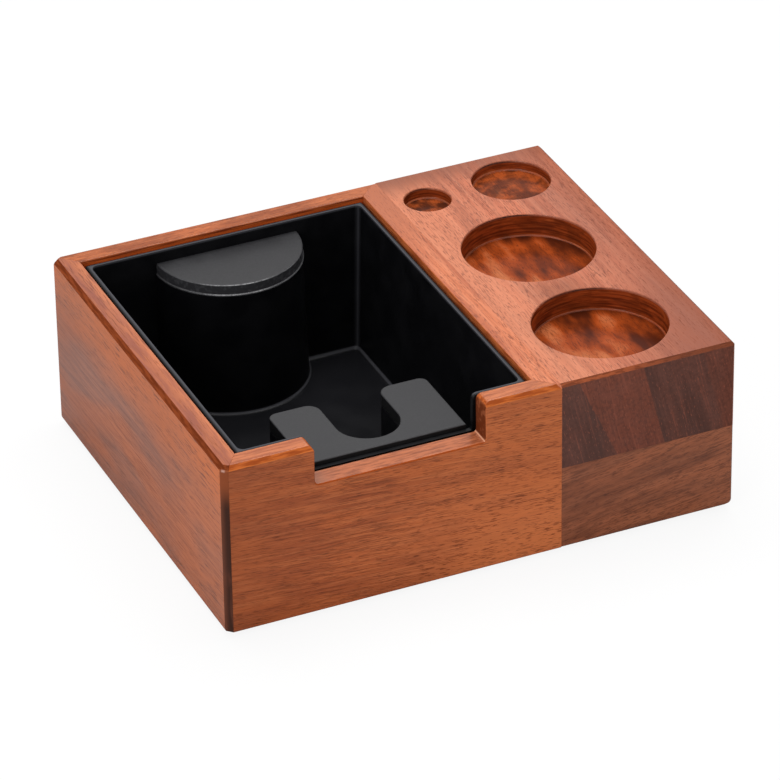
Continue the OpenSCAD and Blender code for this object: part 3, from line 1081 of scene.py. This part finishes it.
def end_grain(finish):
    """Slanting rings cut across, in a dark, a redder and again a dark zone."""
    x, y, z = finish.place
    z = z - WOOD / MM
    lean = x + z * 0.457
    steep = x + z * 0.255
    redder = lean.step(82.2, 83.0) * steep.fall(96.4, 97.2)
    redder = redder + steep.step(124.6, 126.4) * 0.5
    rings = finish.noise(steep / 1.1, y / 30.0, z / 26.0, 3.0)
    broad = finish.noise(steep / 9.0, 4.0, z / 60.0)
    dots = finish.noise(steep / 0.5, y, z / 2.2, 1.0).step(0.62, 0.72)
    grit = finish.grains(1.6, 3.0)
    colour = finish.mix(broad.step(0.4, 0.6), tint(80, 49, 41), tint(94, 56, 46))
    colour = colour.mix(redder * 0.8, tint(116, 60, 43))
    colour = colour.mix(grit.step(0.42, 0.66) * 0.35, tint(66, 38, 31))
    colour = colour.mix(rings.step(0.48, 0.68) * 0.28, tint(62, 36, 30))
    colour = colour.mix(rings.step(0.28, 0.42, 0.26, 0.0), tint(146, 78, 58))
    return colour.mix(dots * 0.4, tint(160, 88, 66))


def recess_floor(finish, fleck):
    """Floor tone of the recesses, with painted shade: darker towards the walls, most towards the
    right and then the back.
    """
    x, y, z = finish.place
    shaded = 0.0
    small = 0.0
    for middle_x, middle_y, radius, _ in RECESSES:
        across = (x - middle_x / MM) / (radius / MM)
        along = (y - middle_y / MM) / (radius / MM)
        square = across * across + along * along
        inside = square.fall(1.0, 1.06)
        shaded = shaded + inside * (square * 0.5 + across * 0.55 + along * 0.25)
        small = small + inside * (1.0 - radius / LARGE_RECESS_R)
    streak = finish.noise(x / 5.5, y / 30.0, z / 9.0, 1.5)
    broad = finish.noise(x / 14.0, y / 30.0, 7.0, 3.0)
    shade = streak * 0.3 + broad * 0.7 + shaded * 0.17
    floor = finish.mix(shade.step(0.34, 0.54), tint(186, 106, 66), tint(156, 66, 24))
    floor = floor.mix(shade.step(0.47, 0.70), tint(74, 28, 11))
    burl = finish.grains(6.0, 4.0).step(0.36, 0.70)
    burl = finish.mix(burl, tint(74, 34, 19), tint(164, 76, 34))
    floor = floor.mix(small * 2.0, burl)
    pores = finish.noise(x / 0.45, y / 2.6, 3.0, 1.0)
    floor = floor.mix(pores.step(0.60, 0.70) * 0.5, tint(62, 26, 13))
    return floor.mix(fleck * 0.45, tint(72, 32, 18))


def block_top_local(finish, colour, gloss, fleck):
    x, y, z = finish.place
    nx, ny, nz = finish.facing
    bare = 1.0 - fleck
    soft = 1.0 - 0.6 * fleck
    side = nx.step(0.5, 0.9)
    front_right = (x - y * 0.35).step(84.0, 140.0)
    right = x.step(76.0, 116.0) * 0.6
    shaded = front_right.most(right) * (1.0 - side)
    colour = colour.mix(shaded * 0.9 * bare, tint(140, 82, 64))
    colour = colour.mix(side * 0.4 * bare, tint(128, 68, 44))
    # Painted sheen: the top is lighter and pinker towards the left.
    left = x.fall(38.0, 74.0)
    colour = colour.mix(left * 0.35 * soft, tint(214, 140, 104))
    heart = abs(x - 71.0).fall(4.0, 16.0)
    heart = heart * y.between(-42.0, -16.0, 8.0) * (1.0 - side)
    colour = colour.mix(heart * 0.6 * bare, tint(132, 74, 50))
    rear = y.step(76.0, 96.0) * (1.0 - side)
    rear = rear * x.step(40.0, 120.0, 0.85, 0.5)
    colour = colour.mix(rear * bare, tint(126, 72, 52))
    far_edge = x.step(104.0, 119.0) * (1.0 - side)
    inside = (x - (SEAM / MM + 2.0)).least(RIGHT / MM - 2.0 - x)
    inside = inside.least(y - (FRONT / MM + 2.0)).least(BACK / MM - 2.0 - y)
    depth = TOP / MM - z
    sunk = inside.least(depth - 1.0).step(0.0, 0.3)
    flat = nz.step(0.80, 0.95)
    streak = finish.noise(x / 14.0, y / 14.0, z / 0.9, 4.0)
    wall = finish.mix(streak.step(0.36, 0.56), tint(110, 44, 18), tint(152, 66, 28))
    wall = wall.mix(streak.step(0.56, 0.72) * 0.5, tint(190, 102, 52))
    deep = finish.noise(x / 9.0, y / 9.0, z / 4.0, 3.0).step(0.42, 0.62)
    wall = wall.mix(deep * 0.4, tint(66, 26, 12))
    colour = colour.mix(sunk * (1.0 - flat), wall)
    colour = colour.mix(sunk * flat, recess_floor(finish, fleck))
    # Painted highlights: a pale line where the recess walls meet their floors, and on the near
    # rims.
    fillet = sunk * nz.between(0.50, 0.62, 0.05) * 0.8
    near_side = (nx * 0.4 + ny * 0.9).step(0.0, 0.3)
    rim = inside.step(0.0, 0.5) * nz.between(0.35, 0.96, 0.03)
    rim = rim * near_side * (1.0 - sunk)
    colour = colour.mix((fillet * 0.6).most(rim) * 0.7, tint(214, 150, 114))
    end = abs(ny).step(0.8, 0.95) * (1.0 - sunk)
    colour = colour.mix(end, end_grain(finish))
    chamfer = slope_mask(finish) * inside.fall(-0.5, 0.0)
    run = finish.noise(x / 5.0, y / 5.0, z / 0.7).step(0.42, 0.62)
    edge = finish.mix(run, tint(150, 76, 44), tint(110, 52, 28))
    edge = edge.mix(x.step(60.0, 100.0) * 0.7, tint(96, 52, 36))
    colour = colour.mix(chamfer * 0.95, edge)
    dull = (1.0 - 0.55 * sunk) * (1.0 - 0.5 * end) * (1.0 - 0.6 * chamfer)
    return colour, gloss * dull * (1.0 - (0.3 * front_right).most(0.6 * far_edge))


def block_bottom_local(finish, colour, gloss, fleck):
    """The ends show cut pores and faint rings."""
    _, y, z = finish.place
    nx, _, _ = finish.facing
    end = abs(nx).step(0.8, 0.95)
    rings = finish.noise(3.0, y / 24.0, z / 2.0 + y * 0.05, 3.0)
    pores = finish.noise(1.0, y / 1.1, z / 0.8, 2.0).step(0.56, 0.66)
    cut = finish.mix(rings.step(0.40, 0.62), tint(84, 48, 36), tint(112, 68, 50))
    cut = cut.mix(pores * 0.5, tint(56, 32, 25))
    return colour.mix(end * 0.9, cut), gloss * (1.0 - 0.4 * end)


def black_moulding(name, colour, rough, grain, depth, shine, local=None):
    """Moulded plastic or rubber with a fine sparked surface, grain and depth in millimetres."""
    finish = Finish(name)
    fine = finish.grains(grain)
    cloud = finish.grains(14.0)
    dust = finish.grains(0.5, 1.0).step(0.70, 0.78)
    pale = tuple(c * 1.6 + 0.003 for c in colour[:3]) + (1,)
    shade = finish.mix(cloud.step(0.35, 0.7) * 0.35, colour, pale)
    shade = shade.mix(dust * 0.2, pale)
    dull = cloud.step(0.3, 0.7, rough - 0.04, rough + 0.06) + fine * 0.06
    if local:
        shade, dull = local(finish, shade, dull)
    return finish.surface({
        "Base Color": shade,
        "Roughness": dull,
        "Normal": finish.bump(fine, 0.5, depth),
        "Specular IOR Level": shine,
    })


def bin_local(finish, shade, dull):
    """Painted sheen pales the rim towards its inner edge, painted highlights mark one upright
    corner and the fillets at the floor, and painted light makes the floor lighter towards the
    back.
    """
    x, y, z = finish.place
    nx, ny, nz = finish.facing
    inside = (x - bin_low.x / MM).least(bin_high.x / MM - x)
    inside = inside.least(y - bin_low.y / MM).least(bin_high.y / MM - y)
    # Painted sheen: the rim is paler towards its inner edge.
    rim = z.step(RIM / MM - 1.2, RIM / MM - 0.4)
    rim = rim * inside.step(0.6, 1.9)
    # Painted highlight down the back right upright corner, soft and wide with a brighter narrow
    # core.
    turned_in = (-nx).least(-ny)
    far = x.least(y).step(0.0, 10.0)
    corner = turned_in.step(0.50, 0.70) * far
    glow = turned_in.step(0.10, 0.60) * far
    shade = shade.mix(glow * 0.7, (0.020, 0.020, 0.023, 1))
    shade = shade.mix(corner * 0.7, (0.045, 0.045, 0.052, 1))
    # Painted highlight on the fillets where the walls and the post meet the floor.
    fillet = z.between(FLOOR / MM + 0.1, FLOOR / MM + 1.6, 0.2)
    fillet = fillet * nz.between(0.45, 0.85, 0.1)
    shade = shade.mix(fillet, (0.055, 0.055, 0.062, 1))
    # Painted light: the floor grows lighter towards the back, and the floor in front of it stays
    # in painted shade.
    floor = nz.step(0.9, 0.98) * z.fall(16.0, 20.0)
    floor = floor * y.step(-20.0, 80.0)
    shade = shade.mix(floor, (0.010, 0.010, 0.012, 1))
    return shade.mix(rim, (0.052, 0.052, 0.060, 1)), dull


def cap_local(finish, shade, dull):
    """Painted highlights along the edges and a painted glint on the post cap's front edge, painted
    shade on the rest cap's sides, and shinier patches with painted reflections on the post cap's
    sides.
    """
    x, y, _ = finish.place
    _, ny, nz = finish.facing
    # Painted highlights along the edges, and a painted glint on the post cap's front edge.
    edge = nz.between(0.40, 0.80, 0.08)
    edge = edge * (-ny).step(0.2, 0.6, 0.25, 1.0)
    edge = edge * y.step(-10.0, 0.0, 0.25, 0.6)
    edge = edge * finish.grains(5.0).step(0.3, 0.6, 0.4, 1.0)
    shade = shade.mix(edge, (0.16, 0.16, 0.17, 1))
    glint = edge * x.between(-62.0, -36.0, 6.0) * y.step(30.0, 40.0)
    shade = shade.mix(glint * 0.8, (0.62, 0.62, 0.64, 1))
    speck = finish.grains(1.1, 2.0).step(0.40, 0.66)
    shade = shade.mix(speck * 0.35, (0.024, 0.023, 0.026, 1))
    dip = finish.grains(0.7, 1.0).step(0.52, 0.66) * y.step(0.0, 30.0)
    shade = shade.mix(dip * 0.5, (0.006, 0.006, 0.007, 1))
    # Painted shade: the rest cap's sides are near black.
    side = nz.fall(0.2, 0.4)
    shade = shade.mix(side * y.fall(-10.0, 0.0), (0.001, 0.001, 0.0014, 1))
    side = side * y.step(-10.0, 0.0)
    shade = shade.mix(side * 0.5, (0.030, 0.030, 0.034, 1))
    # Shinier patches on the post cap's sides, with painted reflections in their colour.
    patch = finish.grains(2.4, 4.0).step(0.48, 0.66)
    shade = shade.mix(side * patch * 0.6, (0.075, 0.075, 0.080, 1))
    return shade, dull - side * patch * 0.2


def dress(piece, material):
    piece.data.materials.clear()
    piece.data.materials.append(material)


FRONT_MARKS = {
    "climb": 0.06, "patch": (36.0, 8.0), "line": (34.0, 1.5), "line_share": 0.45,
    "fibre": (14.0, 0.40), "fibre_share": 0.50, "pore": (4.4, 0.34), "pore_level": 0.57,
    "pore_share": 0.48,
}
LEFT_MARKS = {
    "climb": 0.02, "patch": (60.0, 20.0), "line": (60.0, 2.4), "line_share": 0.35,
    "fibre": (22.0, 0.60), "fibre_share": 0.38, "pore": (9.0, 0.42), "pore_level": 0.58,
    "pore_share": 0.42,
}
TOP_MARKS = {
    "climb": 0.0, "patch": (60.0, 8.0), "line": (60.0, 2.2), "line_share": 0.5,
    "fibre": (16.0, 0.6), "fibre_share": 0.30, "pore": (4.0, 0.42), "pore_level": 0.58,
    "pore_share": 0.65,
}
STAND_MARKS = {
    "climb": -0.16, "patch": (40.0, 8.0), "line": (50.0, 3.0), "line_share": 0.35,
    "fibre": (8.0, 0.62), "fibre_share": 0.48, "pore": (3.0, 0.5), "pore_level": 0.57,
    "pore_share": 0.5,
}

dress(left_panel, wood(
    "Left panel wood", "Y", 11.3,
    (tint(136, 82, 62), tint(166, 94, 62), tint(180, 106, 72), tint(88, 46, 32)),
    LEFT_MARKS, left_local, shine=0.36,
))
dress(front_panel, wood(
    "Front panel wood", "X", 3.7,
    (tint(152, 76, 41), tint(174, 91, 50), tint(196, 112, 66), tint(82, 37, 20)),
    FRONT_MARKS, front_local, shine=0.25,
))
dress(back_panel, wood(
    "Back panel wood", "X", 27.1,
    (tint(150, 80, 48), tint(180, 100, 62), tint(198, 118, 76), tint(92, 44, 26)),
    FRONT_MARKS, back_local, shine=0.4,
))
dress(inner_panel, wood(
    "Inner panel wood", "Y", 41.9,
    (tint(178, 98, 66), tint(200, 116, 80), tint(216, 136, 100), tint(110, 56, 40)),
    TOP_MARKS, inner_local, shine=0.55,
))
dress(base_panel, wood(
    "Base panel wood", "X", 53.3,
    (tint(150, 102, 66), tint(176, 124, 84), tint(192, 142, 100), tint(104, 66, 42)),
    FRONT_MARKS, None, shine=0.1,
))
dress(block_top, wood(
    "Block top layer wood", "Y", 67.7,
    (tint(166, 90, 62), tint(190, 108, 78), tint(208, 130, 98), tint(96, 48, 34)),
    TOP_MARKS, block_top_local, shine=0.6,
))
dress(block_bottom, wood(
    "Block bottom layer wood", "X", 79.9,
    (tint(122, 68, 44), tint(146, 84, 56), tint(162, 98, 68), tint(74, 38, 26)),
    STAND_MARKS, block_bottom_local, shine=0.35,
))
dress(bin_piece, black_moulding(
    "Black bin plastic", (0.0028, 0.0028, 0.0035, 1), rough=0.34, grain=0.25, depth=0.02,
    shine=0.13, local=bin_local,
))
cap_rubber = black_moulding(
    "Grey cap rubber", (0.0125, 0.0122, 0.0138, 1), rough=0.48, grain=0.35, depth=0.05,
    shine=0.36, local=cap_local,
)
foot_rubber = black_moulding(
    "Black foot rubber", (0.02, 0.02, 0.02, 1), rough=0.7, grain=0.4, depth=0.05, shine=0.4
)
for cap in (post_cap, rest_cap):
    dress(cap, cap_rubber)
for foot in feet:
    dress(foot, foot_rubber)


# Floor, light and background

FLOOR_SIZE = 12
FLOOR_DROP = 0.1 * MM
FLOOR_GLOW = 0.9
SKY_LIGHT = 0.5
GREY = (0.86, 0.86, 0.86, 1)
WHITE = (1, 1, 1, 1)


def make_floor():
    bpy.ops.object.select_all(action="DESELECT")
    bpy.ops.mesh.primitive_plane_add(size=FLOOR_SIZE, location=(0, 0, -FLOOR_DROP))
    floor = bpy.context.object
    floor.name = "Floor"
    finish = Finish("Pale floor")
    seen = finish.add("ShaderNodeLightPath", {}, {}, "Is Camera Ray")
    paint = finish.add("ShaderNodeBsdfDiffuse", {}, {"Color": GREY})
    glow = finish.add("ShaderNodeEmission", {}, {"Color": WHITE, "Strength": 1.0})
    mixed = finish.add("ShaderNodeMixShader", {}, {0: seen * FLOOR_GLOW, 1: paint, 2: glow})
    finish.add("ShaderNodeOutputMaterial", {}, {"Surface": mixed})
    dress(floor, finish.material)


def soft_light(name, place, aim, size, power):
    data = bpy.data.lights.new(name, "AREA")
    data.shape = "RECTANGLE"
    data.size, data.size_y = size
    data.energy = power
    lamp = bpy.data.objects.new(name, data)
    bpy.context.scene.collection.objects.link(lamp)
    direction = Vector(aim) - Vector(place)
    turn = direction.to_track_quat("-Z", "Y").to_matrix().to_4x4()
    lamp.matrix_world = Matrix.Translation(Vector(place)) @ turn


def make_world():
    """White to the eye and in reflections, at half strength as a light."""
    world = bpy.data.worlds.new("Studio")
    bpy.context.scene.world = world
    world.use_nodes = True
    nodes = Nodes(world.node_tree)
    rays = ["Is Camera Ray", "Is Glossy Ray", "Is Transmission Ray"]
    camera, glossy, through = [nodes.add("ShaderNodeLightPath", {}, {}, ray) for ray in rays]
    seen = camera.most(glossy).most(through)
    strength = SKY_LIGHT + seen * (1.0 - SKY_LIGHT)
    sky = nodes.add("ShaderNodeBackground", {}, {"Color": WHITE, "Strength": strength})
    nodes.add("ShaderNodeOutputWorld", {}, {"Surface": sky})


make_floor()
make_world()
soft_light(
    "Large soft box overhead", place=(0.1, 0.3, 1.5), aim=(0, 0, 0), size=(1.4, 1.0), power=21
)
soft_light(
    "Soft box front left", place=(-1.3, -0.9, 0.9), aim=(0, 0, 0.03), size=(0.9, 0.9), power=8
)
bpy.context.scene.view_settings.view_transform = "Standard"
